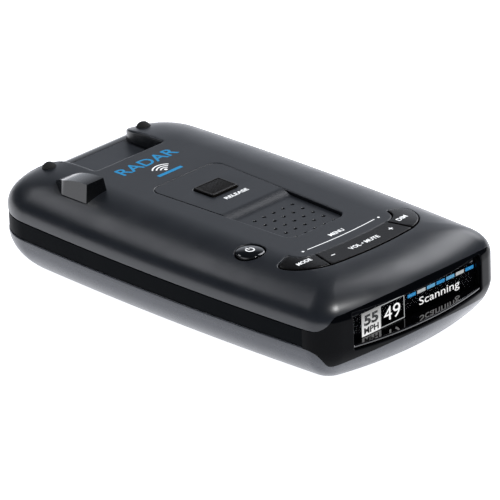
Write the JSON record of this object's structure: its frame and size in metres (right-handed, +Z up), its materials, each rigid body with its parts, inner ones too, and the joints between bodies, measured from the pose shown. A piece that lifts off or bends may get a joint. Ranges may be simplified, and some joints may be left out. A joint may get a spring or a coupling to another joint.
{
  "type": "radar detector",
  "caption": "Flat windshield radar detector with a display at the driver's end, a row of keys, a bracket slot and a release button.",
  "frame": {"origin": "under the middle of the case, on the surface that it rests on", "axes": "+X to the driver's right, +Y from the display to the windshield end, +Z up"},
  "size_m": [0.0698, 0.1332, 0.0312],
  "materials": {
    "top_shell": "satin moulded",
    "bottom_shell": "satin moulded",
    "side_band": "fine matt",
    "smoked_panel": "polished, infrared clear",
    "bezel_black": "polished piano black",
    "display_glass": "clear",
    "display_face": "lit panel behind glass",
    "inner_plastic": "fine texture",
    "flex_film": "amber film",
    "speaker_cloth": "woven",
    "speaker_steel": "zinc plated",
    "speaker_paper": "pressed paper",
    "magnet": "ferrite and plated iron",
    "laser_lens": "polished, infrared clear",
    "sensor_board": "solder mask",
    "bumper_rubber": "shiny rubber",
    "guide_plastic": "semi-gloss",
    "key_black": "semi-gloss",
    "latch_steel": "sintered steel",
    "pin_steel": "ground",
    "spring_steel": "drawn wire",
    "board_green": "solder mask",
    "chip_epoxy": "epoxy",
    "can_tin": "tinned",
    "capacitor_sleeve": "shrunk sleeve",
    "ferrite": "sintered",
    "horn_metal": "cast",
    "socket_black": "moulded",
    "plated_metal": "nickel plated",
    "screw_steel": "zinc plated",
    "plate_silver": "blank foil label"
  },
  "bodies": {
    "case": {"bottom_housing": "bottom_shell", "top_housing": "top_shell", "left_side_band": "side_band", "right_side_band": "side_band", "windshield_panel": "smoked_panel", "front_bezel": "bezel_black", "display_shroud": "bezel_black", "display_window": "display_glass", "display_panel": "display_face", "display_carrier": "inner_plastic", "display_flex": "flex_film", "top_insert": "top_shell", "speaker_cloth": "speaker_cloth", "speaker_frame": "speaker_steel", "speaker_cone": "speaker_paper", "speaker_magnet": "magnet", "rear_laser_lens": "laser_lens", "rear_laser_sensor": "sensor_board", "windshield_laser_sensor": "sensor_board", "windshield_bumpers": "bumper_rubber", "mount_guide": "guide_plastic", "release_frame": "inner_plastic", "latch_pin": "pin_steel", "release_spring": "spring_steel", "key_board": "board_green", "key_switches": "chip_epoxy", "main_circuit_board": "board_green", "processor_chip": "chip_epoxy", "memory_chips": "chip_epoxy", "wireless_module": "can_tin", "storage_capacitor": "capacitor_sleeve", "power_inductor": "ferrite", "board_link": "socket_black", "radar_horn": "horn_metal", "microwave_board": "board_green", "shield_can": "can_tin", "power_jack": "socket_black", "earphone_jack": "socket_black", "usb_socket": "plated_metal", "case_screws": "screw_steel", "board_screws": "screw_steel", "key_board_screws": "screw_steel", "horn_screws": "screw_steel", "label_plate": "plate_silver"},
    "release": {"release_button": "key_black"},
    "latch": {"release_latch": "latch_steel"},
    "power": {"power_button": "key_black"},
    "sensitivity": {"sensitivity_key": "key_black"},
    "brightness": {"brightness_key": "key_black"},
    "mute": {"mute_plunger": "inner_plastic"},
    "volume": {"volume_bar": "key_black"}
  },
  "joints": [
    {"name": "release_press", "type": "slide", "parent": "case", "child": "release", "axis": [0, 0, -1], "range_m": [0, 0.0008], "stiffness_N_per_m": 350, "deforming": ["release_spring"]},
    {"name": "latch_pivot", "type": "hinge", "parent": "case", "child": "latch", "pos_m": [0, -0.001, 0.0221], "axis": [-1, 0, 0], "range_deg": [0, 4.4]},
    {"name": "power_press", "type": "slide", "parent": "case", "child": "power", "axis": [0, 0, -1], "range_m": [0, 0.0005], "stiffness_N_per_m": 400},
    {"name": "sensitivity_press", "type": "slide", "parent": "case", "child": "sensitivity", "axis": [0, 0, -1], "range_m": [0, 0.0005], "stiffness_N_per_m": 400},
    {"name": "brightness_press", "type": "slide", "parent": "case", "child": "brightness", "axis": [0, 0, -1], "range_m": [0, 0.0005], "stiffness_N_per_m": 400},
    {"name": "mute_press", "type": "slide", "parent": "case", "child": "mute", "axis": [0, 0, -1], "range_m": [0, 0.0005], "stiffness_N_per_m": 400},
    {"name": "volume_rock", "type": "hinge", "parent": "mute", "child": "volume", "pos_m": [0, -0.0443, 0.0242], "axis": [0, 1, 0], "range_deg": [-1.5, 1.5], "stiffness_Nm_per_rad": 0.05}
  ],
  "couplings": [
    {"joint": "latch_pivot", "follows": "release_press", "rad_per_m": 95.238}
  ]
}
